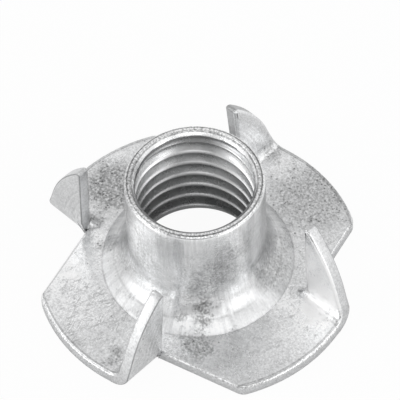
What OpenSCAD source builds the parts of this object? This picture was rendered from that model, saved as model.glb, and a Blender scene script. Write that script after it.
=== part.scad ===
// Four-prong tee nut, drawn and folded from one blank of sheet steel.
// The origin is on the barrel's axis, at the underside of the flange; +Z points out of the mouth.

/* [Barrel] */
// Height from the underside of the flange to the mouth
overall_h = 11.2; // [10.4:0.1:14]
// Outside diameter of the barrel
barrel_d = 10.9; // [10.6:0.1:11.8]
// Rounding of the outer edge of the mouth
lip_round = 0.35; // [0.1:0.05:0.45]

/* [Bore] */
// Diameter of the bore, measured across the thread crests
bore_d = 9.2; // [8.6:0.05:9.4]
// Diameter of the countersink at the mouth
mouth_d = 9.6; // [9.45:0.05:9.8]
// Depth of the countersink
mouth_h = 0.4; // [0.2:0.05:0.8]
// Radius of the drawn entry under the flange
entry_round = 2.1; // [1.6:0.1:2.6]

/* [Flange] */
// Diameter of the flange
flange_d = 25.6; // [24.6:0.1:28]
// Thickness of the sheet
sheet_t = 1.05; // [0.8:0.05:1.3]
// Rounding that the punch leaves on the upper edge of the rim
rim_round = 0.2; // [0.1:0.05:0.4]
// Diameter of the raised ring round the foot of the barrel
foot_d = 15.1; // [14.6:0.1:15.6]
// Height of the ring's coned face above the flange
foot_h = 0.9; // [0.5:0.05:1.3]
// Slope of the ring's coned face, from level
foot_slope = 42; // [30:1:50]

/* [Prongs] */
// Number of prongs
prong_count = 4; // [3:1:4]
// Height of a prong's tip above the flange
prong_h = 7.8; // [5:0.1:8.2]
// Distance of a prong's upper face from the axis, square to its fold
prong_offset = 3.35; // [3:0.05:3.8]
// Distance of a prong's inner edge from the axis, along its fold
prong_inner = 8.5; // [8.3:0.05:8.9]
// Lean of a prong's inner edge towards the barrel
prong_lean = 3.3; // [0:0.1:5]
// Radius of a prong's curved outer edge
prong_round = 11.9; // [11.6:0.1:14]
// Inner radius of the fold
fold_round = 0.8; // [0.4:0.05:1.2]
// Angle that the prong is folded through
fold_angle = 88.5; // [80:0.5:90]
// Width of the slit between a prong's inner edge and the flange
slit_w = 0.15; // [0.1:0.05:0.3]

/* [Notches] */
// Angle between the fold and the lobe corner next to it
corner_angle = 59.5; // [57:0.5:64]
// Distance from the axis, square to the fold, at which the straight cut meets the slit
notch_root = 4.15; // [3.4:0.05:5]
// Rounding of the lobe's corner, seen from above
corner_round = 1; // [0.3:0.1:1.6]

/* [Hidden] */
$fn = 96;
// Facets round the small arcs of the section
arc_facets = 48;
// Length by which cutting shapes run past what they cut
over = 1;

barrel_r = barrel_d / 2;
bore_r = bore_d / 2;
mouth_r = mouth_d / 2;
flange_r = flange_d / 2;
foot_r = foot_d / 2;

// The trumpet between the ring and the barrel is one arc, tangent to both
cone_top_r = foot_r - foot_h / tan(foot_slope);
cone_top_z = sheet_t + foot_h;
trumpet_r = (cone_top_r - barrel_r) / (1 - sin(foot_slope));
trumpet_z = cone_top_z + trumpet_r * cos(foot_slope);

// Fold geometry, in a frame with X along the fold and Y towards the notch
fold_start_y = prong_offset - fold_round;
fold_axis_z = sheet_t + fold_round;
fold_outer_r = fold_round + sheet_t;
slit_x = prong_inner - slit_w;
tip_z = sheet_t + prong_h;
tip_inner_x = prong_inner - (tip_z - fold_axis_z) * tan(prong_lean);

// The upright's outer edge is an arc that leaves the rim where its upper face would cross it;
// beside the bend a short run-out joins the two
prong_centre_x = sqrt(pow(flange_r, 2) - pow(prong_offset, 2)) - prong_round;
bend_top_x = prong_centre_x + sqrt(pow(prong_round, 2) - pow(fold_axis_z, 2));
run_out = (flange_r - bend_top_x) / (fold_round + rim_round);

// Straight cut from the lobe's corner to the slit
corner = flange_r * [cos(corner_angle), sin(corner_angle)];
root = [slit_x, notch_root];
cut_dir = (root - corner) / norm(root - corner);

// Centre of the corner's arc, which touches the straight cut and just crosses the rim
rim_cross = 0.02;
arc_reach = flange_r - corner_round + rim_cross;
cut_inward = [cut_dir.y, -cut_dir.x];
arc_line = corner + corner_round * cut_inward;
arc_back = arc_line * cut_dir;
arc_run = -arc_back - sqrt(pow(arc_back, 2) - pow(norm(arc_line), 2) + pow(arc_reach, 2));
arc_centre = arc_line + arc_run * cut_dir;

// Half section of the round form: flange, coned ring, trumpet and barrel
module round_section() {
    difference() {
        union() {
            polygon([
                [bore_r, 0], [flange_r, 0], [flange_r, sheet_t - rim_round],
                [flange_r - rim_round, sheet_t], [foot_r, sheet_t], [cone_top_r, cone_top_z],
                [barrel_r, trumpet_z], [barrel_r, overall_h - lip_round],
                [barrel_r - lip_round, overall_h], [bore_r, overall_h]
            ]);
            edge_round(flange_r, sheet_t, rim_round);
            edge_round(barrel_r, overall_h, lip_round);
        }
        trumpet_cut();
        entry_cut();
        // countersink at the mouth
        polygon([
            [bore_r - over, overall_h - mouth_h], [bore_r, overall_h - mouth_h],
            [mouth_r, overall_h], [mouth_r, overall_h + over], [bore_r - over, overall_h + over]
        ]);
    }
}

// Rounds the section's outer corner at the given radius and height
module edge_round(at_r, at_z, round_r) {
    translate([at_r - round_r, at_z - round_r]) circle(round_r, $fn = arc_facets);
}

// What the trumpet's arc takes off between the cone and the wall
module trumpet_cut() {
    intersection() {
        translate([barrel_r + trumpet_r, trumpet_z]) circle(trumpet_r);
        translate([barrel_r, cone_top_z])
            square([cone_top_r - barrel_r, trumpet_z - cone_top_z]);
    }
}

// What the drawn entry takes off the corner of the section
module entry_cut() {
    difference() {
        translate([bore_r - over, -over]) square(entry_round + over);
        translate([bore_r + entry_round, entry_round]) circle(entry_round, $fn = arc_facets);
    }
}

// What is cut away beside one prong, in the fold's frame
module notch() {
    polygon([
        corner - over * cut_dir,
        root,
        [slit_x, fold_start_y],
        [flange_d, fold_start_y],
        [flange_d, corner.y - over * cut_dir.y]
    ]);
    corner_cut();
}

// What the corner's rounding takes off the lobe
module corner_cut() {
    difference() {
        polygon([
            arc_centre, arc_centre - (corner_round + over) * cut_inward,
            corner - over * cut_dir, arc_centre * (flange_r + over) / norm(arc_centre)
        ]);
        translate(arc_centre) circle(corner_round, $fn = arc_facets);
    }
}

// Section across the fold, seen along it: the bend and the upright in one strip
module fold_section() {
    intersection() {
        difference() {
            circle(fold_outer_r);
            circle(fold_round);
        }
        polygon([
            [0, 0], [0, -tip_z], [tip_z, -tip_z],
            tip_z * [sin(fold_angle), -cos(fold_angle)]
        ]);
    }
    rotate(fold_angle - 90) translate([fold_round, 0]) square([sheet_t, tip_z]);
}

// Outline of the upright, seen square to it: curved outer edge, short tip, leaning inner edge
module prong_outline() {
    intersection() {
        union() {
            translate([prong_centre_x, 0]) circle(prong_round);
            polygon([
                [0, 0], [bend_top_x + fold_axis_z * run_out, 0],
                [bend_top_x - over * run_out, fold_axis_z + over], [0, fold_axis_z + over]
            ]);
        }
        polygon([
            [prong_inner, 0], [flange_d, 0], [flange_d, tip_z],
            [tip_inner_x, tip_z], [prong_inner, fold_axis_z]
        ]);
    }
}

// One folded prong, in the fold's frame
module prong() {
    intersection() {
        translate([0, fold_start_y, fold_axis_z]) rotate([90, 0, 90])
            linear_extrude(flange_d) fold_section();
        translate([0, flange_d / 2, 0]) rotate([90, 0, 0])
            linear_extrude(flange_d) prong_outline();
        cylinder(h = tip_z, r = flange_r);
    }
    // key inside the sheet that makes the strip one with the flange
    translate([prong_inner + rim_round, fold_start_y - over / 2, rim_round])
        cube([over, over, sheet_t - 2 * rim_round]);
}

module tee_nut() {
    color("gainsboro") union() {
        difference() {
            rotate_extrude() round_section();
            for (i = [0 : prong_count - 1])
                rotate(i * 360 / prong_count)
                    translate([0, 0, -over]) linear_extrude(sheet_t + 2 * over) notch();
        }
        for (i = [0 : prong_count - 1])
            rotate(i * 360 / prong_count) prong();
    }
}

tee_nut();
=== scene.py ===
import math

import bpy
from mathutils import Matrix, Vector


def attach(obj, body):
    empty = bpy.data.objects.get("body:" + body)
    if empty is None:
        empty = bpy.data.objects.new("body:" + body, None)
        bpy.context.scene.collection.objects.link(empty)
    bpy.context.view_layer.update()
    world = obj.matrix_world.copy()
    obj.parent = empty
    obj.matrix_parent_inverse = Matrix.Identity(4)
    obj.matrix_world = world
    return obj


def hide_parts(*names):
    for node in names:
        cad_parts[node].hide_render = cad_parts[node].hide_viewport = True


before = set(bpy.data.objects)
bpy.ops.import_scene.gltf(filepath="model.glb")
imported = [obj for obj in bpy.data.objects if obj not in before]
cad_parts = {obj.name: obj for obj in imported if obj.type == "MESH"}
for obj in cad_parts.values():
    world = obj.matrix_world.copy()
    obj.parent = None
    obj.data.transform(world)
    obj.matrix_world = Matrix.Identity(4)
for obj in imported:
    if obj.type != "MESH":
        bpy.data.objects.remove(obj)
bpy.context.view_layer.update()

mm = 0.001
hair = 0.002 * mm        # points closer than this are one point
turnSteps = 192          # points round the barrel


def clearSelection():
    if bpy.context.object and bpy.context.object.mode != "OBJECT":
        bpy.ops.object.mode_set(mode="OBJECT")
    bpy.ops.object.select_all(action="DESELECT")


def traceOutline(name, points, filled):
    # a ring of points moved onto the outline, filled or open; an open one loses its closing edge
    clearSelection()
    fill = "NGON" if filled else "NOTHING"
    bpy.ops.mesh.primitive_circle_add(vertices=len(points), radius=mm, fill_type=fill)
    piece = bpy.context.object
    piece.name = name
    piece.data.name = name
    for vertex, point in zip(piece.data.vertices, points):
        vertex.co = [c * mm for c in point]
    if not filled:
        ends = {0, len(points) - 1}
        pickEdges(piece, lambda a, b, edge: set(edge.vertices) == ends)
        bpy.ops.mesh.delete(type="EDGE")
        bpy.ops.object.mode_set(mode="OBJECT")
    return piece


def startPicking(kind):
    # leaves nothing picked, ready for faces, edges or points to be picked in code
    bpy.ops.object.mode_set(mode="EDIT")
    bpy.ops.mesh.select_mode(type=kind)
    bpy.ops.mesh.select_all(action="DESELECT")
    bpy.ops.object.mode_set(mode="OBJECT")


def pickFaces(piece, wanted):
    # enters edit mode with just the wanted faces picked; wanted(centre, normal, face), in mm
    startPicking("FACE")
    for face in piece.data.polygons:
        face.select = bool(wanted(face.center / mm, face.normal, face))
    bpy.ops.object.mode_set(mode="EDIT")


def pickEdges(piece, wanted):
    # the same for edges; wanted(one end, other end, edge), in mm
    startPicking("EDGE")
    points = [v.co / mm for v in piece.data.vertices]
    for edge in piece.data.edges:
        a, b = edge.vertices
        edge.select = bool(wanted(points[a], points[b], edge))
    bpy.ops.object.mode_set(mode="EDIT")


def pickPoints(piece, wanted):
    # the same for points; wanted(place), in mm
    startPicking("VERT")
    for vertex in piece.data.vertices:
        vertex.select = bool(wanted(vertex.co / mm))
    bpy.ops.object.mode_set(mode="EDIT")


def pickAll():
    # enters edit mode with the whole of the active piece picked
    bpy.ops.object.mode_set(mode="EDIT")
    bpy.ops.mesh.select_all(action="SELECT")


def turnPicked(degrees):
    # turns what is picked counter-clockwise round the barrel; with no window the tool turns the other way
    bpy.ops.transform.rotate(value=-math.radians(degrees), orient_axis="Z", orient_type="GLOBAL",
                             center_override=(0, 0, 0))


def mergeDoubles():
    pickAll()
    bpy.ops.mesh.remove_doubles(threshold=hair)
    bpy.ops.object.mode_set(mode="OBJECT")


def turnFacesOut():
    pickAll()
    bpy.ops.mesh.normals_make_consistent(inside=False)
    bpy.ops.object.mode_set(mode="OBJECT")


def arcPoints(centre, radius, start, end, count):
    # points on an arc in a plane, angles in degrees
    angles = [math.radians(start + (end - start) * i / count) for i in range(count + 1)]
    return [(centre[0] + radius * math.cos(a), centre[1] + radius * math.sin(a)) for a in angles]


# bright zinc over pressed steel; colours are linear
finish = {
    "plateColour": (0.76, 0.765, 0.77, 1),
    "shearColour": (0.70, 0.705, 0.71, 1),
    # painted shade: the dark colour of the lower edges
    "burrShadeColour": (0.42, 0.425, 0.43, 1),
    "threadColour": (0.84, 0.845, 0.85, 1),
    # painted shade: the thread's colour is darker deeper down the bore, by height
    "threadDepthShade": (6.0, 9.6, 0.50, 0.95),
    "threadRough": (0.16, 0.2),     # more in the cloudy patches, and everywhere
    "threadRelief": 0.005,
    "shearRough": (0.2, 0.26),
    "shearRelief": 0.009,
    # places that are darker, or lighter where the amount is negative, part stains on the zinc and part
    # painted shade, painted highlights and painted reflections:
    # (where in mm, radius, softness, how much darker, how much rougher)
    "stainsAndPaintedLight": [
        ((1.7, -11.2, 1.05), 0.2, 0.9, 0.34, 0.10),
        ((5.7, -6.1, 1.05), 0.6, 1.4, 0.4, 0.10),
        ((6.6, -7.4, 1.05), 0.4, 1.8, 0.06, 0.00),
        ((4.7, -4.2, 2.4), 0.3, 0.9, 0.46, 0.05),
        ((-9.7, 0.6, 1.05), 1.6, 1.6, 0.44, 0.10),
        ((2.4, 10.2, 1.05), 2.0, 2.4, 0.24, 0.12),
        ((12.0, 2.9, 1.2), 0.2, 0.5, 0.25, 0.05),
        ((-2.8, 11.4, 1.1), 0.4, 0.7, 0.30, 0.05),
        ((4.5, -3.2, 6.0), 0.6, 2.6, 0.3, 0.00),
        ((3.9, -3.9, 4.2), 0.5, 1.6, 0.26, 0.00),
        ((1.7, -5.2, 5.6), 1.0, 2.4, -0.34, 0.00),
        ((-1.4, -5.3, 8.4), 0.6, 1.8, 0.2, 0.00),
        ((-0.9, -5.4, 5.6), 0.8, 2.4, 0.24, 0.00),
        ((-3.7, -4.4, 3.0), 0.6, 1.8, 0.2, 0.00),
        ((5.4, -0.5, 8.6), 0.6, 1.6, 0.16, 0.00),
        ((4.1, 5.7, 1.6), 0.3, 1.2, 0.24, 0.00),
        ((6.8, 1.6, 1.5), 0.7, 1.6, -0.22, 0.00),
        ((4.9, -2.6, 8.6), 0.6, 1.4, 0.14, 0.00),
        ((-4.6, -9.6, 1.05), 1.4, 3.2, -0.2, 0.00),
        ((4.6, -4.1, 3.2), 0.4, 1.1, 0.24, 0.04),
        ((9.9, 3.35, 4.6), 2.0, 2.2, -0.42, 0.16),
        ((10.2, 2.8, 1.7), 1.2, 1.6, -0.25, 0.08),
        ((-3.35, 9.2, 7.0), 2.0, 1.5, -0.04, 0.00),
        ((0.4, -5.7, 3.0), 0.7, 1.4, -0.16, 0.00),
        ((-3.4, 3.8, 11.2), 2.0, 2.0, -0.26, 0.05),
        ((-3.7, -3.9, 11.2), 1.0, 2.2, 0.22, 0.05),
        ((5.2, 2.9, 3.0), 1.2, 2.2, 0.3, 0.03),
        ((5.4, -0.6, 6.6), 1.0, 2.4, 0.15, 0.00),
        ((0.7, -5.3, 10.7), 0.6, 1.0, -0.2, 0.00),
        ((4.9, -2.2, 10.6), 0.6, 1.2, -0.18, 0.00),
        ((5.1, -5.2, 1.3), 1.3, 2.2, -0.34, 0.05),
        ((3.3, -5.5, 2.2), 0.1, 0.6, 0.4, 0.05),
        ((-8.4, -3.0, 1.2), 0.2, 1.3, 0.28, 0.25),
        ((-5.9, -4.2, 1.5), 0.4, 0.9, 0.24, 0.05),
        ((-9.2, 6.2, 1.05), 1.0, 2.4, -0.08, -0.03),
        ((-8.0, -8.2, 1.05), 1.0, 3.0, -0.14, -0.03),
        ((-12.0, 2.4, 1.05), 0.6, 1.4, -0.14, -0.05),
        ((-0.9, 11.4, 1.05), 0.8, 1.4, -0.12, -0.06),
        ((10.8, 1.1, 1.05), 1.2, 3.0, -0.16, -0.03),
        ((-7.4, -5.6, 1.05), 1.0, 3.0, -0.24, -0.03),
        ((9.0, -6.6, 1.05), 1.4, 2.4, 0.05, 0.06),
    ],
    # painted highlights and painted shade on the thread: where, radius, softness, how much darker
    "threadPaintedLight": [
        ((1.0, 4.6, 6.2), 2.2, 3.0, -0.55),
        ((-4.7, 0.5, 8.4), 1.8, 3.0, -0.25),
        ((-3.4, 3.3, 8.8), 1.2, 2.2, 0.42),
    ],
    # the same painted highlights and painted shade for the cut edges
    "shearPaintedLight": [
        ((-3.9, 8.3, 6.8), 1.5, 1.5, 0.4),
        ((-3.9, 8.3, 4.5), 1.5, 1.5, 0.3),
        ((-8.4, -3.9, 5.4), 1.5, 1.5, -0.2),
        ((4.1, -11.6, 4.6), 1.5, 1.5, -0.2),
    ],
}


def feed(tree, socket, value):
    # links another node's output to a socket, or sets a plain value on it
    if isinstance(value, bpy.types.NodeSocket):
        tree.links.new(value, socket)
    else:
        socket.default_value = value


def feedAll(tree, node, **values):
    # the same for sockets by name, with an underscore where the name has a space
    for title, value in values.items():
        feed(tree, node.inputs[title.replace("_", " ")], value)


def makeGroup(name, inputs, outputs):
    # an empty effect with named inputs, each (name, kind, value), and named values that it puts out
    group = bpy.data.node_groups.new(name, "ShaderNodeTree")
    for title, kind, value in inputs:
        socket = group.interface.new_socket(name=title, in_out="INPUT", socket_type="NodeSocket" + kind)
        if value is not None:
            socket.default_value = value
    for title in outputs:
        group.interface.new_socket(name=title, in_out="OUTPUT", socket_type="NodeSocketFloat")
    return group, group.nodes.new("NodeGroupInput"), group.nodes.new("NodeGroupOutput")


def addMath(tree, operation, *values, clamp=False):
    # a sum on up to three values, each a number or another node's output
    node = tree.nodes.new("ShaderNodeMath")
    node.operation = operation
    node.use_clamp = clamp
    for socket, value in zip(node.inputs, values):
        feed(tree, socket, value)
    return node.outputs[0]


def times(tree, a, b):
    return addMath(tree, "MULTIPLY", a, b)


def centred(tree, noise):
    # a noise from 0 to 1, brought about zero
    return addMath(tree, "SUBTRACT", noise, 0.5)


def addVector(tree, operation, *vectors):
    # a sum on one or two vectors, which gives a vector or a value
    node = tree.nodes.new("ShaderNodeVectorMath")
    node.operation = operation
    for socket, vector in zip(node.inputs, vectors):
        feed(tree, socket, vector)
    return node.outputs["Vector" if operation == "MULTIPLY" else "Value"]


def addRange(tree, value, low, high, outLow, outHigh):
    # eases a value from one range to another
    node = tree.nodes.new("ShaderNodeMapRange")
    node.interpolation_type = "SMOOTHSTEP"
    feedAll(tree, node, Value=value, From_Min=low, From_Max=high, To_Min=outLow, To_Max=outHigh)
    return node.outputs[0]


def addNoise(tree, vector, scale, detail, rough, warp=0.0):
    node = tree.nodes.new("ShaderNodeTexNoise")
    feedAll(tree, node, Vector=vector, Scale=scale, Detail=detail, Roughness=rough, Distortion=warp)
    return node.outputs[0]


def addLine(tree, value, middle, core, edge, strength=1.0):
    # a thin line along which the value passes the middle: full within the core, gone at the edge
    away = addMath(tree, "ABSOLUTE", addMath(tree, "SUBTRACT", value, middle))
    return addRange(tree, away, core, edge, strength, 0.0)


def darken(tree, shade, mask, amount):
    # takes the amount off a shade where the mask is 1; a negative amount makes it lighter
    return times(tree, shade, addMath(tree, "MULTIPLY_ADD", mask, -amount, 1.0))


def buildMottle():
    # cloudy patches with a finer grain on top; shade is about 1
    group, start, end = makeGroup("mottle", [
        ("Vector", "Vector", None), ("Patch Size", "Float", 2.0), ("Grain Size", "Float", 0.2),
        ("Patch Amount", "Float", 0.1), ("Grain Amount", "Float", 0.1)], ["Shade", "Grain", "Patch"])
    g = start.outputs
    patch = addNoise(group, g["Vector"], addMath(group, "DIVIDE", 1.0, g["Patch Size"]), 4.0, 0.6, 0.4)
    grain = addNoise(group, g["Vector"], addMath(group, "DIVIDE", 1.0, g["Grain Size"]), 3.0, 0.6, 0.2)
    byPatch = times(group, centred(group, patch), g["Patch Amount"])
    byGrain = times(group, centred(group, grain), g["Grain Amount"])
    patchy = addMath(group, "MULTIPLY_ADD", byPatch, 2.0, 1.0)
    shade = addMath(group, "ADD", patchy, times(group, byGrain, 2.0))
    feedAll(group, end, Shade=shade, Grain=grain, Patch=patch)
    return group


def buildScratches():
    # short fine lines, all one way, broken up by a coarser noise
    group, start, end = makeGroup("fineScratches", [
        ("Vector", "Vector", None), ("Turn", "Vector", (0, 0, 0)), ("Stretch", "Vector", (1, 8, 1)),
        ("Thinness", "Float", 0.04), ("Share", "Float", 0.5)], ["Mask"])
    g = start.outputs
    turn = group.nodes.new("ShaderNodeVectorRotate")
    turn.rotation_type = "EULER_XYZ"
    feedAll(group, turn, Vector=g["Vector"], Rotation=g["Turn"])
    stretched = addVector(group, "MULTIPLY", turn.outputs[0], g["Stretch"])
    lines = addLine(group, addNoise(group, stretched, 1.0, 1.0, 0.4, 0.6), 0.5, 0.0, g["Thinness"])
    breaks = addNoise(group, g["Vector"], 1.3, 2.0, 0.5)
    lowest = addMath(group, "SUBTRACT", 0.75, times(group, g["Share"], 0.5))
    kept = addRange(group, breaks, lowest, 0.8, 0.0, 1.0)
    feedAll(group, end, Mask=times(group, lines, kept))
    return group


def buildPits():
    # small round pits in some of the cells of a random pattern
    group, start, end = makeGroup("pits", [
        ("Vector", "Vector", None), ("Size", "Float", 0.3), ("Share", "Float", 0.3)], ["Mask"])
    g = start.outputs
    cells = group.nodes.new("ShaderNodeTexVoronoi")
    cells.feature = "F1"
    feedAll(group, cells, Vector=g["Vector"], Scale=addMath(group, "DIVIDE", 1.0, g["Size"]))
    chances = group.nodes.new("ShaderNodeSeparateColor")
    feed(group, chances.inputs[0], cells.outputs["Color"])
    chosen = addMath(group, "LESS_THAN", chances.outputs[0], g["Share"])
    rim = addMath(group, "MULTIPLY_ADD", chances.outputs[1], 0.2, 0.28)
    hole = addRange(group, cells.outputs["Distance"], 0.12, rim, 1.0, 0.0)
    feedAll(group, end, Mask=times(group, hole, chosen))
    return group


def buildSoftSpot():
    # a soft round place, ragged at its edge and broken into specks
    group, start, end = makeGroup("softSpot", [
        ("Vector", "Vector", None), ("Place", "Vector", (0, 0, 0)), ("Radius", "Float", 1.0),
        ("Softness", "Float", 1.0), ("Rag", "Float", 0.5), ("Speckle", "Float", 0.5)], ["Mask"])
    g = start.outputs
    away = addVector(group, "DISTANCE", g["Vector"], g["Place"])
    away = addMath(group, "ADD", away, times(group, centred(group, g["Rag"]), 3.0))
    mask = addRange(group, away, g["Radius"], addMath(group, "ADD", g["Radius"], g["Softness"]), 1.0, 0.0)
    broken = addRange(group, g["Speckle"], 0.32, 0.62, 0.35, 1.25)
    feedAll(group, end, Mask=times(group, mask, broken))
    return group


def useGroup(tree, group, vector, **values):
    # places an effect in a material, with its own values
    node = tree.nodes.new("ShaderNodeGroup")
    node.node_tree = group
    feedAll(tree, node, Vector=vector, **values)
    return node.outputs


def startMaterial(name, roughness):
    # an empty metal, with the place on the object in millimetres
    material = bpy.data.materials.new(name)
    material.use_nodes = True
    tree = material.node_tree
    shader = tree.nodes["Principled BSDF"]
    feedAll(tree, shader, Metallic=1, Roughness=roughness)
    coords = tree.nodes.new("ShaderNodeTexCoord")
    scale = tree.nodes.new("ShaderNodeMapping")
    feedAll(tree, scale, Vector=coords.outputs["Object"], Scale=(1000, 1000, 1000))
    return material, tree, shader, scale.outputs[0]


def addColour(tree, colour, shade):
    # the colour, made lighter or darker by a value about 1
    node = tree.nodes.new("ShaderNodeVectorMath")
    node.operation = "SCALE"
    node.inputs[0].default_value = colour[:3]
    feedAll(tree, node, Scale=shade)
    return node.outputs[0]


def addBump(tree, height, depth, below=None):
    # depth in mm is the relief of a height that runs from 0 to 1
    node = tree.nodes.new("ShaderNodeBump")
    feedAll(tree, node, Strength=1, Distance=depth * mm, Height=height)
    if below is not None:
        feedAll(tree, node, Normal=below)
    return node.outputs[0]


def splitPlace(tree, place):
    parts = tree.nodes.new("ShaderNodeSeparateXYZ")
    feed(tree, parts.inputs[0], place)
    return parts.outputs


def joinPlace(tree, *values):
    # a vector of up to three values
    node = tree.nodes.new("ShaderNodeCombineXYZ")
    for socket, value in zip(node.inputs, values):
        feed(tree, socket, value)
    return node.outputs[0]


def addLength(tree, a, b):
    # the length of a line that runs a one way and b square to it
    return addMath(tree, "SQRT", addMath(tree, "ADD", times(tree, a, a), times(tree, b, b)))


def cylinderCoords(tree, place):
    # distance from the axis, height, and a vector for marks that run up the barrel
    x, y, z = splitPlace(tree, place)
    away = addLength(tree, x, y)
    # a unit circle keeps the pattern whole all the way round, and the squashed height draws it out
    circle = [addMath(tree, "DIVIDE", side, away) for side in (x, y)]
    return away, z, joinPlace(tree, *circle, times(tree, z, plate["streakHeight"]))


# a round place for stains, for painted highlights and painted shade, and for the most worn place
def addSoftSpot(tree, place, where, radius, softness, rag=0.5, speckle=0.5):
    # with no rag and speckle given, the place is smooth
    return useGroup(tree, softSpot, place, Place=where, Radius=radius, Softness=softness,
                    Rag=rag, Speckle=speckle)["Mask"]


mottle = buildMottle()
fineScratches = buildScratches()
pits = buildPits()
softSpot = buildSoftSpot()

# marks on the plate, in mm
plate = {
    # by distance from the axis: from where to where, and from what value to what
    "ringStart": (6.35, 6.9, 0.0, 1.0),
    "ringEnd": (7.5, 7.62, 1.0, 0.0),
    "drawnEnd": (7.5, 7.6, 1.0, 0.0),
    "barrelRough": (5.46, 6.1, 0.13, 0.22),
    "lobeRough": (7.5, 7.7, 0.0, -0.05),
    "ringRough": 0.16,
    "patchRough": 0.14,
    "ringGrain": (6.3, 6.8, 0.22, 0.42),
    "lobeGrain": (7.2, 8.2, 0.0, 0.62),
    "stainAndShadeGrain": 0.8,
    "lobePits": (7.3, 7.8, 0.5, 1.0),
    "lobes": (8.0, 8.3, 0.0, 1.0),
    "prongs": (8.3, 8.6, 0.0, 1.0),
    # by height
    "topSide": (0.5, 0.7, 0.0, 1.0),
    "rolledRim": (0.99, 1.04, 1.0, 0.0),
    "uprights": (1.9, 2.6, 0.0, 1.0),
    "mouth": (10.9, 11.0, 0.0, 1.0),
    "lip": (11.0, 11.12, 0.0, 1.0),
    "flangeTop": 1.2,
    # painted shade in the coned ring's creases, fine lines round the axis: distance from it, full within,
    # gone at, strength
    "ringShadeLines": [(7.56, 0.02, 0.09, 1.0), (6.58, 0.03, 0.12, 0.8)],
    "lineBreaks": (0.35, 0.6, 0.1, 1.0),
    # painted shade lines: just inside the rim, and along the lip's two edges
    "rimShadeLine": (12.5, 0.03, 0.1),
    "lipMiddle": 5.03,
    "lipShadeLines": (0.17, 0.03, 0.08),         # to either side of the middle
    # noises: scale, detail, roughness, warp
    "rag": (1.2, 4.0, 0.65),
    "speckle": (5.0, 2.0, 0.6),
    "streaks": (30.0, 5.0, 0.7),
    "streakHeight": 0.012,
    "coarse": (6.0, 2.0, 0.7),
    "sweep": (5.0, 4.0, 0.7),
    "waves": (0.9, 3.0, 0.55, 0.3),
    "sweepCentre": (-0.98, -0.37),          # centre of a prong's outer edge: reach and height
    "stainAndShade": 0.15,                        # a stain or painted shade darker than this is coarser and has more pits
    "pitSize": 0.26,
    "pitShare": (0.45, 0.008),              # more under the stains and painted shade, and everywhere
    "worn": ((-2.6, -10.2, 1.05), 2.2, 2.6),   # the most scuffed place, its radius and softness
    "scuffShare": (0.6, 0.45),              # more there, and everywhere
    # each set of scuffs: turn, stretch, thinness
    "scuffs": [(-1.2, (0.6, 4.2, 0.6), 0.035), (-1.9, (0.8, 5.6, 0.8), 0.03)],
    # how much darker each mark is; a noise about zero goes both ways
    "darker": {"pits": 0.6, "streaks": -0.65, "ringShadeLines": 0.25, "rimShadeLine": 0.6, "lipShadeLines": 1.0,
               "coarse": -2.4, "scuffs": 0.4, "sweep": -0.9},
    "relief": {"waves": 0.05, "grain": 0.006, "streaks": 0.012, "pits": -0.012},
}


def paintStainsAndLight(tree, place, shade, rougher, rag, speckle):
    # lays on the stains, painted highlights and painted shade, and also tells where the darker ones lie
    stainAndShade = None
    for where, radius, softness, darker, rough in finish["stainsAndPaintedLight"]:
        mask = addSoftSpot(tree, place, where, radius, softness, rag, speckle if darker > 0 else 0.5)
        shade = darken(tree, shade, mask, darker)
        rougher = addMath(tree, "MULTIPLY_ADD", mask, rough, rougher)
        if darker > plate["stainAndShade"]:
            stainAndShade = mask if stainAndShade is None else addMath(tree, "MAXIMUM", stainAndShade, mask)
    return shade, rougher, stainAndShade


def paintShadeLines(tree, away, height, shade, rag, speckle):
    # painted shade: fine dark lines at the ring's creases, inside the rim and along the lip
    dark = plate["darker"]
    topSide = addRange(tree, height, *plate["topSide"])
    # painted shade: a fine dark line in the crease along each edge of the coned ring, broken here and there
    outer, inner = [addLine(tree, away, *line) for line in plate["ringShadeLines"]]
    ringShadeLines = times(tree, addMath(tree, "ADD", outer, inner), addRange(tree, rag, *plate["lineBreaks"]))
    shade = darken(tree, shade, times(tree, ringShadeLines, topSide), dark["ringShadeLines"])
    # painted shade: another dark line just inside the round rim
    onFlange = times(tree, topSide, addMath(tree, "LESS_THAN", height, plate["flangeTop"]))
    rimShadeLine = times(tree, addLine(tree, away, *plate["rimShadeLine"]), onFlange)
    shade = darken(tree, shade, times(tree, rimShadeLine, speckle), dark["rimShadeLine"])
    # painted shade: a dark line along each edge of the lip
    fromMiddle = addMath(tree, "ABSOLUTE", addMath(tree, "SUBTRACT", away, plate["lipMiddle"]))
    lipShadeLines = addLine(tree, fromMiddle, *plate["lipShadeLines"])
    lipShadeLines = times(tree, lipShadeLines, addRange(tree, height, *plate["mouth"]))
    return darken(tree, shade, times(tree, lipShadeLines, speckle), dark["lipShadeLines"])


def scuffMarks(tree, place, rag):
    # two sets of wavy scuffs, thickest on one lobe
    worn = addSoftSpot(tree, place, *plate["worn"], rag)
    share = addMath(tree, "MULTIPLY_ADD", worn, *plate["scuffShare"])
    masks = [useGroup(tree, fineScratches, place, Turn=(0, 0, turn), Stretch=stretch, Thinness=thinness,
                      Share=share)["Mask"] for turn, stretch, thinness in plate["scuffs"]]
    return addMath(tree, "MAXIMUM", *masks)


def sweepMarks(tree, place, away):
    # fine lines along each prong, following its outer edge
    x, y, z = splitPlace(tree, place)
    reach = addMath(tree, "MAXIMUM", addMath(tree, "ABSOLUTE", x), addMath(tree, "ABSOLUTE", y))
    reach = addMath(tree, "ADD", reach, -plate["sweepCentre"][0])
    rise = addMath(tree, "ADD", z, -plate["sweepCentre"][1])
    swept = centred(tree, addNoise(tree, joinPlace(tree, addLength(tree, reach, rise)), *plate["sweep"]))
    onProngs = times(tree, addRange(tree, z, *plate["uprights"]), addRange(tree, away, *plate["prongs"]))
    return times(tree, swept, onProngs)


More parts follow.
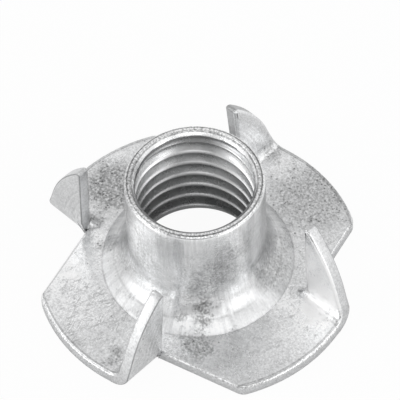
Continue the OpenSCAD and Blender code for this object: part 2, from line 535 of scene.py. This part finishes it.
def buildPlate():
    material, tree, shader, place = startMaterial("zincPlate", 0.3)
    away, height, around = cylinderCoords(tree, place)
    dark, relief = plate["darker"], plate["relief"]

    def byAway(name):
        return addRange(tree, away, *plate[name])

    cloud = useGroup(tree, mottle, place, Patch_Size=1.6, Grain_Size=0.16,
                     Patch_Amount=0.14, Grain_Amount=0.0)
    rag = addNoise(tree, place, *plate["rag"])
    speckle = addNoise(tree, place, *plate["speckle"])
    # smoothest on the barrel, roughest on the ring
    onRing = times(tree, byAway("ringStart"), byAway("ringEnd"))
    rougher = addMath(tree, "MULTIPLY_ADD", onRing, plate["ringRough"], byAway("barrelRough"))
    rougher = addMath(tree, "ADD", rougher, byAway("lobeRough"))
    rougher = addMath(tree, "MULTIPLY_ADD", cloud["Patch"], plate["patchRough"], rougher)
    # stains, painted highlights and painted shade at the listed round places
    shade, rougher, stainAndShade = paintStainsAndLight(tree, place, cloud["Shade"], rougher, rag, speckle)
    # the grain is fine and faint on the drawn barrel, coarser on the lobes and under the stains and painted
    # shade
    grainy = addMath(tree, "MULTIPLY_ADD", stainAndShade, plate["stainAndShadeGrain"], byAway("lobeGrain"))
    grainy = addMath(tree, "ADD", grainy, byAway("ringGrain"))
    grainy = times(tree, centred(tree, cloud["Grain"]), grainy)
    shade = times(tree, shade, addMath(tree, "ADD", grainy, 1.0))
    # pits lie thickest under the stains and painted shade
    share = addMath(tree, "MULTIPLY_ADD", stainAndShade, *plate["pitShare"])
    pitMask = useGroup(tree, pits, place, Size=plate["pitSize"], Share=share)["Mask"]
    pitMask = times(tree, pitMask, byAway("lobePits"))
    shade = darken(tree, shade, pitMask, dark["pits"])
    # drawing marks run up the barrel and out across the ring
    streaks = centred(tree, addNoise(tree, around, *plate["streaks"]))
    streaks = times(tree, streaks, byAway("drawnEnd"))
    shade = darken(tree, shade, streaks, dark["streaks"])
    shade = paintShadeLines(tree, away, height, shade, rag, speckle)
    # the lip and the rolled rim edges are coarse and sparkling
    onRim = times(tree, addRange(tree, height, *plate["rolledRim"]), byAway("lobes"))
    edges = addMath(tree, "MAXIMUM", addRange(tree, height, *plate["lip"]), onRim)
    coarse = times(tree, centred(tree, addNoise(tree, place, *plate["coarse"])), edges)
    shade = darken(tree, shade, coarse, dark["coarse"])
    scuffs = scuffMarks(tree, place, rag)
    shade = darken(tree, shade, scuffs, dark["scuffs"])
    shade = darken(tree, shade, sweepMarks(tree, place, away), dark["sweep"])
    normal = addBump(tree, addNoise(tree, place, *plate["waves"]), relief["waves"])
    normal = addBump(tree, cloud["Grain"], relief["grain"], normal)
    normal = addBump(tree, addMath(tree, "ADD", streaks, coarse), relief["streaks"], normal)
    normal = addBump(tree, addMath(tree, "MAXIMUM", pitMask, scuffs), relief["pits"], normal)
    colour = addColour(tree, finish["plateColour"], shade)
    feedAll(tree, shader, Base_Color=colour, Roughness=rougher, Normal=normal)
    return material


# lays painted highlights and painted shade on a finish, one round place at a time
def toneShade(tree, place, shade, tones):
    for where, radius, softness, darker in tones:
        shade = darken(tree, shade, addSoftSpot(tree, place, where, radius, softness), darker)
    return shade


def buildSheared():
    material, tree, shader, place = startMaterial("zincSheared", 0.36)
    cloud = useGroup(tree, mottle, place, Patch_Size=0.9, Grain_Size=0.16,
                     Patch_Amount=0.2, Grain_Amount=0.5)
    shade = toneShade(tree, place, cloud["Shade"], finish["shearPaintedLight"])
    feedAll(tree, shader, Base_Color=addColour(tree, finish["shearColour"], shade),
            Roughness=addMath(tree, "MULTIPLY_ADD", cloud["Patch"], *finish["shearRough"]),
            Normal=addBump(tree, cloud["Grain"], finish["shearRelief"]))
    return material


def buildThreadFinish():
    material, tree, shader, place = startMaterial("zincThread", 0.3)
    height = splitPlace(tree, place)[2]
    cloud = useGroup(tree, mottle, place, Patch_Size=1.2, Grain_Size=0.16,
                     Patch_Amount=0.16, Grain_Amount=0.1)
    # painted shade, darker deeper down the bore
    shade = times(tree, cloud["Shade"], addRange(tree, height, *finish["threadDepthShade"]))
    shade = toneShade(tree, place, shade, finish["threadPaintedLight"])
    feedAll(tree, shader, Base_Color=addColour(tree, finish["threadColour"], shade),
            Roughness=addMath(tree, "MULTIPLY_ADD", cloud["Patch"], *finish["threadRough"]),
            Normal=addBump(tree, cloud["Grain"], finish["threadRelief"]))
    return material


def buildBurrShade():
    # a dark line of painted shade along the lower edges, on the fine edge the blank was parted from
    material, tree, shader, place = startMaterial("zincBurrShade", 0.42)
    cloud = useGroup(tree, mottle, place, Patch_Size=0.5, Grain_Size=0.12,
                     Patch_Amount=0.5, Grain_Amount=0.5)
    feedAll(tree, shader, Base_Color=addColour(tree, finish["burrShadeColour"], cloud["Shade"]))
    return material


print("Finish")
zincFinishes = {
    "plate": buildPlate(),
    "sheared": buildSheared(),
    "thread": buildThreadFinish(),
    "burrShade": buildBurrShade(),
}
finishIndex = {name: i for i, name in enumerate(zincFinishes)}


def giveFinish(piece, name):
    # the piece carries all the finishes, and takes one of them all over
    piece.data.materials.clear()
    for material in zincFinishes.values():
        piece.data.materials.append(material)
    for face in piece.data.polygons:
        face.material_index = finishIndex[name]


# four lobes and four prongs, cut flat and then folded; lengths in mm, angles in degrees
sheet = {
    "thickness": 1.05,
    "rimRadius": 12.8,
    "ringRadius": 7.55,             # where the coned ring starts
    "root": (8.445, 3.95, 0.045),   # round end of the notch beside a prong: where, and its radius
    "rootSteps": 3,                 # points on each quarter of that round end
    "cornerAngle": 59.5,
    "cornerRound": 1.0,
    "cornerSteps": 10,
    "rimSteps": 36,
    # how far along the straight cut its points lie: close together beside the prong, where it is drawn up
    "cutSteps": [0.016 * i for i in range(12)] + [0.2 + 0.08 * i for i in range(10)],
    "foldStart": 2.55,              # distance of the fold from the axis
    "foldRadius": 0.8,
    "foldAngle": 88.5,
    "foldSteps": 12,
    "webEdge": 7.62,                # the web is the sheet beside the fold's end that is drawn up with it
    "webWidth": 0.84,
    "webSpread": (3.3, 1.3),        # past here it is wider, by so much for each mm
    "webRows": [3.86, 3.95, 4.05, 4.2, 4.4, 4.6],
    "webTop": 4.8,
    "webColumns": (0.095, 8),       # scored from its edge to the slit: how far apart, how many
    "slit": 8.475,                  # middle of the slit between the web and the prong
    "slitLean": (4.15, 0.155),      # past here the parting leans in, by so much for each mm
    "prongFrom": 2.3,
    "prongRows": (0.5, 8),          # scored on the prong past the web's top
    "prongColumns": (0.5, 6),       # and from its inner edge outwards
    "prongSteps": 26,               # points on each edge of the prong past the bend
    "innerEdge": 8.5,
    "innerLean": 3.3,
    "outerArc": (-0.98, -0.37, 13.2),   # the outer edge past the bend: its centre and radius
    "arcFrom": 2.6,                 # distance from the fold's start at which it begins
    "tipHeight": 8.85,              # above the underside
    "tipRound": 0.12,
    "tipNip": 0.035,                # how far the middle of the rounding stands in from the corner
    "tipEase": (0.005, 0.004),      # how far its ends stand in from the outer and the inner edge
    "joinAngle": 26.25,             # where one quarter of the blank meets the next
    "topRound": 0.24,               # rollover that the punch leaves
    "topSteps": 5,
    "burrRound": 0.08,
    "burrSteps": 2,
}

bendLength = sheet["foldRadius"] * math.radians(sheet["foldAngle"])   # along the inner side of the bend


def prongOuter(s):
    # the prong's outer edge, as a distance from the axis, s along the sheet past the fold's start
    cx, cz, r = sheet["outerArc"]
    top = sheet["thickness"] + sheet["foldRadius"]

    def onArc(t):
        z = top + t - bendLength
        return cx + math.sqrt(r * r - (z - cz) ** 2)

    arcFrom, step = sheet["arcFrom"], 0.01
    if s >= arcFrom:
        return onArc(s)
    # a smooth run from the rim to the arc, with the slope of each at its ends
    x0 = math.sqrt(sheet["rimRadius"] ** 2 - sheet["foldStart"] ** 2)
    d0 = -sheet["foldStart"] / x0
    x1 = onArc(arcFrom)
    d1 = (onArc(arcFrom + step) - x1) / step
    t = s / arcFrom
    return ((2 * t**3 - 3 * t**2 + 1) * x0 + (t**3 - 2 * t**2 + t) * arcFrom * d0
            + (-2 * t**3 + 3 * t**2) * x1 + (t**3 - t**2) * arcFrom * d1)


def bendRows():
    # places along the sheet at which the fold is scored
    return [bendLength * i / sheet["foldSteps"] for i in range(sheet["foldSteps"] + 1)]


def lobeEdge():
    # from the round end of a notch out along the straight cut, round the lobe's corner and along the rim
    s = sheet
    rim, cornerRound = s["rimRadius"], s["cornerRound"]
    rx, ry, rr = s["root"]
    rootArc = [(y, -x) for x, y in arcPoints((rx, ry), rr, 270, 180, s["rootSteps"])]
    root = Vector(rootArc[-1])
    angle = math.radians(s["cornerAngle"])
    corner = Vector((rim * math.sin(angle), -rim * math.cos(angle)))
    along = (root - corner).normalized()
    inward = Vector((-along.y, along.x))
    if inward.dot(-corner) < 0:
        inward = -inward
    # the corner's arc touches the cut and the rim
    besideCut = corner + cornerRound * inward
    back = besideCut.dot(along)
    run = -back - math.sqrt(back * back - besideCut.length_squared + (rim - cornerRound) ** 2)
    centre = besideCut + run * along
    cutEnd = centre - cornerRound * inward
    start = math.degrees(math.atan2(-inward.y, -inward.x))
    end = math.degrees(math.atan2(centre.y, centre.x))
    foldAt = math.degrees(math.asin(s["foldStart"] / rim))
    line = rootArc[:-1]
    line += [tuple(root.lerp(cutEnd, t)) for t in s["cutSteps"]]
    line += arcPoints(centre, cornerRound, start, end, s["cornerSteps"])
    line += arcPoints((0, 0), rim, end, foldAt, s["rimSteps"])[1:]
    return line


def prongEdge():
    # out along the prong's outer edge, across its tip and back down its inner edge
    s = sheet
    start, rounding, nip = s["foldStart"], s["tipRound"], s["tipNip"]
    tipAt = s["tipHeight"] - s["thickness"] - s["foldRadius"] + bendLength
    steps = s["prongSteps"]
    rows = bendRows()[1:] + [bendLength + (tipAt - bendLength) * i / steps for i in range(1, steps + 1)]
    lean = math.tan(math.radians(s["innerLean"]))
    outer = [(prongOuter(r), start + r) for r in rows]
    inner = [(s["innerEdge"] - max(0, r - bendLength) * lean, start + r) for r in reversed(rows)
             if start + r > s["root"][1] + 0.05]
    (ax, ay), (bx, by) = outer[-1], inner[0]
    outerEase, innerEase = s["tipEase"]
    # the tip's two corners are a little round
    line = outer[:-1]
    line += [(prongOuter(tipAt - rounding) - outerEase, ay - rounding)]
    line += [(ax - nip, ay - nip), (ax - rounding, ay)]
    line += [(bx + rounding, by), (bx + nip, by - nip), (bx + innerEase, by - rounding)]
    return line + inner[1:]


def quarterOutline():
    # one quarter of the flat blank: a lobe and the prong it ends in
    rx, ry, rr = sheet["root"]
    join = sheet["joinAngle"]
    quarter = lobeEdge() + prongEdge()
    # round the notch's end as far as its lowest point, and back along the ring
    quarter += arcPoints((rx, ry), rr, 360, 270, sheet["rootSteps"])
    quarter += arcPoints((0, 0), sheet["ringRadius"], join, join - 90, turnSteps // 4)
    return [(x, y, sheet["thickness"]) for x, y in quarter]


def buildSheet():
    s = sheet
    top, ring = s["thickness"], s["ringRadius"]
    blank = traceOutline("teeNut", quarterOutline(), True)
    # four quarters, joined
    pickAll()
    for i in range(3):
        bpy.ops.mesh.duplicate()
        turnPicked(90)
    mergeDoubles()
    # down to the underside
    pickFaces(blank, lambda c, n, f: True)
    bpy.ops.mesh.extrude_region_move(TRANSFORM_OT_translate={"value": (0, 0, -top * mm)})
    turnFacesOut()
    # the wall inside the ring goes, the barrel joins there
    pickFaces(blank, lambda c, n, f: abs(n.z) < 0.5 and c.xy.length < ring + 0.05)
    bpy.ops.mesh.delete(type="FACE")
    bpy.ops.object.mode_set(mode="OBJECT")
    # rollover of the upper edge and the small burr of the lower one
    onRing = lambda p: p.xy.length < ring + 0.01
    for height, size, steps in ((top, s["topRound"], s["topSteps"]), (0, s["burrRound"], s["burrSteps"])):
        walls = set()
        for face in blank.data.polygons:
            if abs(face.normal.z) < 0.3:
                walls.update(face.edge_keys)
        pickEdges(blank, lambda a, b, e: abs(a.z - height) < 0.001 and abs(b.z - height) < 0.001
                  and e.key in walls and not (onRing(a) and onRing(b)))
        bpy.ops.mesh.bevel(offset_type="OFFSET", offset=size * mm, segments=steps, profile=0.5,
                           affect="EDGES", clamp_overlap=False)
        bpy.ops.object.mode_set(mode="OBJECT")
    giveFinish(blank, "plate")
    for face in blank.data.polygons:
        if abs(face.normal.z) < 0.1:
            face.material_index = finishIndex["sheared"]
        elif face.center.z < 0.99 * s["burrRound"] * mm and face.normal.z > -0.97:
            face.material_index = finishIndex["burrShade"]
    return blank


def onProng(p):
    # whether a place of the flat blank is on the prong of the quarter that lies along +X
    leanFrom, lean = sheet["slitLean"]
    return p.y > sheet["prongFrom"] and p.x > sheet["slit"] - max(0, p.y - leanFrom) * lean


def spaced(start, gap, count):
    return [start + gap * i for i in range(1, count + 1)]


def scoreProng(blank):
    # scores the sheet where it bends, on the prong and on the web, and the prong past the bend
    s = sheet
    start, edge, top = s["foldStart"], s["webEdge"], s["webTop"]
    flatTop = 1.2                   # below this lie the flange's faces
    sliver = 0.002 * mm * mm        # faces smaller than this aren't cut
    facingX, facingY = (1, 0, 0), (0, 1, 0)

    def score(wanted, places, facing):
        # cuts the wanted faces at each place, without parting them
        for place in places:
            pickFaces(blank, lambda c, n, f: abs(n.z) > 0.99 and c.z < flatTop
                      and f.area > sliver and wanted(c))
            bpy.ops.mesh.bisect(plane_co=[place * mm * c for c in facing], plane_no=facing,
                                threshold=0.0005 * mm)
            bpy.ops.object.mode_set(mode="OBJECT")

    bends = [start + row for row in bendRows()]
    score(lambda c: True, [edge], facingX)
    score(lambda c: c.x > edge, bends[:1], facingY)
    score(lambda c: c.x > edge and c.y > start, bends[1:] + s["webRows"] + [top], facingY)
    score(lambda c: c.x > edge and start < c.y < s["root"][1] + 0.1, [s["slit"]], facingX)
    score(lambda c: c.x > edge and start < c.y < top and not onProng(c),
          spaced(edge, *s["webColumns"]), facingX)
    score(onProng, spaced(top, *s["prongRows"]), facingY)
    score(lambda c: onProng(c) and c.y > start, spaced(s["innerEdge"], *s["prongColumns"]), facingX)


def foldShare(p):
    # how far a place follows the fold: wholly on the prong, and ever less across the web
    if onProng(p):
        return 1
    spreadFrom, spread = sheet["webSpread"]
    t = (sheet["slit"] - p.x + spread * max(0, p.y - spreadFrom)) / sheet["webWidth"]
    t = min(1, max(0, t))
    return 1 - t * t * (3 - 2 * t)


def foldProng(blank):
    # rolls the sheet up past the fold's start, with the inner side of the bend kept at its length
    start, thickness = sheet["foldStart"], sheet["thickness"]
    for vertex in blank.data.vertices:
        p = vertex.co / mm
        along = p.y - start
        if p.x < sheet["webEdge"] - 0.01 or along <= 0:
            continue
        angle = math.radians(sheet["foldAngle"]) * foldShare(p)
        if angle < 0.001:
            continue
        radius = bendLength / angle
        turned = angle * min(along, bendLength) / bendLength
        beyond = max(0, along - bendLength)
        out = radius + thickness - p.z
        y = start + out * math.sin(turned) + beyond * math.cos(angle)
        z = thickness + radius - out * math.cos(turned) + beyond * math.sin(angle)
        vertex.co.yz = y * mm, z * mm


def buildProngs(blank):
    # each prong is folded while its quarter lies along +X, then the sheet is turned on to the next
    for i in range(4):
        scoreProng(blank)
        foldProng(blank)
        pickPoints(blank, lambda p: True)
        turnPicked(-90)
        bpy.ops.object.mode_set(mode="OBJECT")


# drawn up from the sheet, open at both ends; outlines are (distance from the axis, height)
barrel = {
    "radius": 5.45,
    "bore": 4.6,
    "height": 11.2,
    "lipRound": 0.35,
    "lipSteps": 7,
    "entryRound": 2.1,
    "entrySteps": 9,
    "ring": [(7.5, 1.12), (7.42, 1.22), (7.3, 1.345), (7.15, 1.49), (7.0, 1.625),
             (6.85, 1.75), (6.72, 1.845), (6.63, 1.895)],
    "trumpetCentre": (8.776, 4.4217),
    "trumpetRadius": 3.326,
    "trumpetArc": (227, 180, 18),   # from and to which angle, and in how many steps
    "wallRows": [5.2, 6.0, 6.8, 7.6, 8.4, 9.2, 10.0, 10.5],
    "mouth": [(5.0, 11.2), (4.94, 11.19), (4.89, 11.15), (4.76, 11.02), (4.64, 10.91)],
    "threadTop": 10.85,
    "threadFoot": 0.8,
}

# a rolled right-hand thread
thread = {
    "pitch": 1.395,
    "depth": 0.52,
    "crestPlace": (136.4, 1.68),   # one crest passes here: angle round the barrel, height
    "crestShare": 0.07,            # of the pitch
    "shoulder": 0.12,              # of the depth, gained at once beside the crest
    "shoulderWidth": 0.05,         # of the groove
    "hollow": 1.25,                # how fast the groove deepens after that
    "rows": 22,
    "turns": 9,
    "runInGap": 0.05,              # plain bore above the groove's upper end
    "runIn": 2.0,                  # from that end down to full depth
    "runInStart": 0.7,             # of the depth, gained in the first quarter of the run
    "runOut": 0.6,                 # from the foot up to full depth
    "wornFrom": 8.8,               # above here the crests are ever more worn
    "wornOver": 2.4,
    "wornMost": 0.8,
}


def entryRadius(z):
    # the bore's own radius at a height: plain, then flaring in the drawn entry
    r = barrel["entryRound"]
    if z >= r:
        return barrel["bore"]
    return barrel["bore"] + r - math.sqrt(max(0, r * r - (r - z) ** 2))


def barrelProfile():
    # from the flange up the outside, over the lip and down the mouth to the thread
    b = barrel
    lip = b["lipRound"]
    line = [(sheet["ringRadius"], sheet["thickness"])] + b["ring"]
    line += arcPoints(b["trumpetCentre"], b["trumpetRadius"], *b["trumpetArc"])
    line += [(b["radius"], z) for z in b["wallRows"]]
    line += arcPoints((b["radius"] - lip, b["height"] - lip), lip, 0, 90, b["lipSteps"])
    line += b["mouth"] + [(b["bore"], b["threadTop"])]
    return [(x, 0, z) for x, z in line]


def entryProfile():
    # from the thread's foot round the drawn entry and out along the underside
    bore, r = barrel["bore"], barrel["entryRound"]
    start = math.degrees(math.acos((entryRadius(barrel["threadFoot"]) - bore - r) / r))
    line = arcPoints((bore + r, r), r, 360 - start, 270, barrel["entrySteps"])
    line += [(sheet["ringRadius"], 0)]
    return [(x, 0, z) for x, z in line]


def latheProfile(name, points):
    piece = traceOutline(name, points, False)
    pickAll()
    bpy.ops.mesh.spin(steps=turnSteps, angle=2 * math.pi, center=(0, 0, 0), axis=(0, 0, 1))
    mergeDoubles()
    giveFinish(piece, "plate")
    return piece


def grooveShare(share, worn):
    # how deep the groove is, 0 at a crest and 1 at the root, at a share of the way from crest to crest;
    # worn is 0 for a crisp crest and 1 for one that is rubbed round
    t = thread
    half = t["crestShare"] / 2
    if share < half or share > 1 - half:
        return 0.0
    u = (share - half) / (1 - 2 * half)
    shoulder = min(1, min(u, 1 - u) / t["shoulderWidth"])
    crisp = t["shoulder"] * shoulder + (1 - t["shoulder"]) * (1 - abs(2 * u - 1) ** t["hollow"])
    return (1 - worn) * crisp + worn * (0.5 - 0.5 * math.cos(2 * math.pi * u))


def threadDepth(z):
    # full lower down, shallow in the upper turns, none at the two ends
    t = thread
    down = min(1, max(0, (barrel["threadTop"] - t["runInGap"] - z) / t["runIn"]))
    runOut = min(1, max(0, (z - barrel["threadFoot"]) / t["runOut"]))
    runIn = t["runInStart"] * min(1, down * 4) + (1 - t["runInStart"]) * down * down * (3 - 2 * down)
    return t["depth"] * runOut * runIn


def buildThread():
    t = thread
    bore, pitch = barrel["bore"], t["pitch"]
    angle, z = t["crestPlace"]
    foot = z - pitch * (angle / 360 + 1)
    half = t["crestShare"] / 2
    # shares of the way from crest to crest, closer together beside the crests
    inner = t["rows"] - 4
    shares = [0, half]
    shares += [half + (1 - 2 * half) * (0.5 - 0.5 * math.cos(math.pi * i / inner)) for i in range(1, inner)]
    shares += [1 - half, 1]
    piece = traceOutline("thread", [(bore, 0, foot + share * pitch) for share in shares], False)
    # one right-hand turn, repeated upwards
    pickAll()
    bpy.ops.mesh.screw(steps=turnSteps, turns=1, center=(0, 0, 0), axis=(0, 0, -1))
    bpy.ops.mesh.select_all(action="SELECT")
    for i in range(t["turns"]):
        bpy.ops.mesh.duplicate()
        bpy.ops.transform.translate(value=(0, 0, pitch * mm))
    mergeDoubles()
    # what runs past the two ends is pressed flat onto them
    for end, side in ((barrel["threadTop"], 1), (barrel["threadFoot"], -1)):
        pickPoints(piece, lambda p: (p.z - end) * side > 0)
        bpy.ops.transform.resize(value=(1, 1, 0), center_override=(0, 0, end * mm))
        bpy.ops.object.mode_set(mode="OBJECT")
    # the groove is pressed into the plain bore
    for vertex in piece.data.vertices:
        x, y, z = vertex.co / mm
        around = math.degrees(math.atan2(y, x))
        share = ((z - t["crestPlace"][1]) / pitch - (around - t["crestPlace"][0]) / 360) % 1
        worn = min(t["wornMost"], max(0, (z - t["wornFrom"]) / t["wornOver"]))
        radius = max(entryRadius(z), bore + threadDepth(z) * grooveShare(share, worn))
        vertex.co.xy = Vector((x, y)).normalized() * radius * mm
    mergeDoubles()
    giveFinish(piece, "thread")
    return piece


def joinPieces(pieces, name):
    clearSelection()
    for piece in pieces:
        piece.select_set(True)
    bpy.context.view_layer.objects.active = pieces[0]
    bpy.ops.object.join()
    whole = bpy.context.object
    whole.name = name
    mergeDoubles()
    turnFacesOut()
    return whole


def smoothPiece(piece, sharpAngle):
    # smooth across edges flatter than the angle, with the flat faces kept flat
    bpy.ops.object.shade_smooth_by_angle(angle=math.radians(sharpAngle))
    bpy.ops.object.modifier_add(type="WEIGHTED_NORMAL")
    piece.modifiers[-1].keep_sharp = True
    bpy.ops.object.modifier_apply(modifier=piece.modifiers[-1].name)
    clearSelection()


print("Sheet: the flat blank")
blank = buildSheet()
print("Sheet: folding the prongs")
buildProngs(blank)
print("Barrel: outside, mouth, thread and entry")
outside = latheProfile("barrelOutside", barrelProfile())
entry = latheProfile("barrelEntry", entryProfile())
inside = buildThread()
tee = joinPieces([blank, outside, entry, inside], "teeNut")
smoothPiece(tee, 38)


view = {
    "place": (126.04, -120.027, 245.058),
    "turned": (36.3403, 1.51908, 44.21747),
    "lens": 342.956,
}

lights = {
    # name: (azimuth it comes from, elevation, distance, size, radiance)
    "ceiling": (136, 58, 400, 380, 0.2),
    "softFront": (-44, 42, 300, 190, 0.85),
    "backRight": (84, 16, 300, 170, 0.5),
    "softLeft": (-117, 14, 300, 260, 0.62),
    "backLeft": (-168, 16, 300, 170, 0.35),
    "lowLeft": (-110, 8, 300, 190, 0.8),
    "highLeft": (-150, 54, 300, 190, 0.8),
    "softRight": (24, 26, 300, 320, 0.45),
    "lowRight": (1, 14, 300, 160, 0.8),
    "highRight": (48, 50, 300, 170, 0.5),
}

room = {
    "walls": 0.70,
    # darker gaps in the pale walls: (azimuth, elevation, half width, how much of the light is left)
    "gaps": [(-48, 10, 32, 0.5), (101, 30, 38, 0.62), (166, 32, 28, 0.8), (0, 88, 30, 0.65)],
    "gapCore": 0.4,                # share of the width at which a gap is darkest
}

paper = {
    "size": 3000,
    "gap": 0.02,                   # below the nut
    "colour": (0.85, 0.85, 0.85, 1),
    "seen": 0.95,                  # how much of plain white the camera sees
    # how much of it the metal sees, by distance from the axis: less close by, where the nut's shade lies
    "reflected": (13 * mm, 34 * mm, 0.2, 0.9),
}


def direction(azimuth, elevation):
    a, e = math.radians(azimuth), math.radians(elevation)
    return Vector((math.cos(a) * math.cos(e), math.sin(a) * math.cos(e), math.sin(e)))


def buildStage():
    bpy.ops.mesh.primitive_plane_add(size=paper["size"] * mm, location=(0, 0, -paper["gap"] * mm))
    floor = bpy.context.object
    floor.name = "floor"
    bpy.ops.object.transform_apply(location=True)
    material = bpy.data.materials.new("paper")
    material.use_nodes = True
    tree = material.node_tree
    tree.nodes.clear()
    out = tree.nodes.new("ShaderNodeOutputMaterial")
    matt = tree.nodes.new("ShaderNodeBsdfDiffuse")
    feedAll(tree, matt, Color=paper["colour"])
    glow = tree.nodes.new("ShaderNodeEmission")
    feedAll(tree, glow, Color=(1, 1, 1, 1))
    # the camera and the metal see plain white, everything else a matt floor that holds the shadow
    path = tree.nodes.new("ShaderNodeLightPath").outputs
    coords = tree.nodes.new("ShaderNodeTexCoord")
    share = addRange(tree, addVector(tree, "LENGTH", coords.outputs["Object"]), *paper["reflected"])
    reflected = times(tree, addMath(tree, "ADD", path["Is Glossy Ray"], path["Is Transmission Ray"]), share)
    white = addMath(tree, "MULTIPLY_ADD", path["Is Camera Ray"], paper["seen"], reflected, clamp=True)
    mix = tree.nodes.new("ShaderNodeMixShader")
    for socket, value in zip(mix.inputs, (white, matt.outputs[0], glow.outputs[0])):
        feed(tree, socket, value)
    feed(tree, out.inputs[0], mix.outputs[0])
    floor.data.materials.append(material)


def buildLights():
    for name, (azimuth, elevation, distance, size, radiance) in lights.items():
        place = direction(azimuth, elevation) * distance * mm
        turned = (-place).to_track_quat("-Z", "Y").to_euler()
        bpy.ops.object.light_add(type="AREA", location=place, rotation=turned)
        lamp = bpy.context.object
        lamp.name = name
        lamp.data.shape = "DISK"
        lamp.data.size = size * mm
        lamp.data.energy = radiance * (math.pi * size * mm / 2) ** 2


def buildRoom():
    world = bpy.data.worlds.new("room")
    bpy.context.scene.world = world
    world.use_nodes = True
    tree = world.node_tree
    coords = tree.nodes.new("ShaderNodeTexCoord")
    strength = None
    for azimuth, elevation, wide, left in room["gaps"]:
        lean = addVector(tree, "DOT_PRODUCT", coords.outputs["Generated"], direction(azimuth, elevation))
        edge, core = math.cos(math.radians(wide)), math.cos(math.radians(wide * room["gapCore"]))
        level = addRange(tree, lean, edge, core, 1.0, left)
        strength = level if strength is None else times(tree, strength, level)
    feedAll(tree, tree.nodes["Background"], Color=(1, 1, 1, 1), Strength=times(tree, strength, room["walls"]))


def buildCamera():
    place = [c * mm for c in view["place"]]
    bpy.ops.object.camera_add(location=place, rotation=[math.radians(a) for a in view["turned"]])
    camera = bpy.context.object
    camera.name = "camera"
    camera.data.lens = view["lens"]
    camera.data.sensor_width = 36
    camera.data.clip_start = 0.01
    camera.data.clip_end = 10
    bpy.context.scene.camera = camera


print("Floor, lights and camera")
buildStage()
buildLights()
buildRoom()
buildCamera()
bpy.context.scene.view_settings.view_transform = "Standard"

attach(tee, "root")
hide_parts("tee_nut")
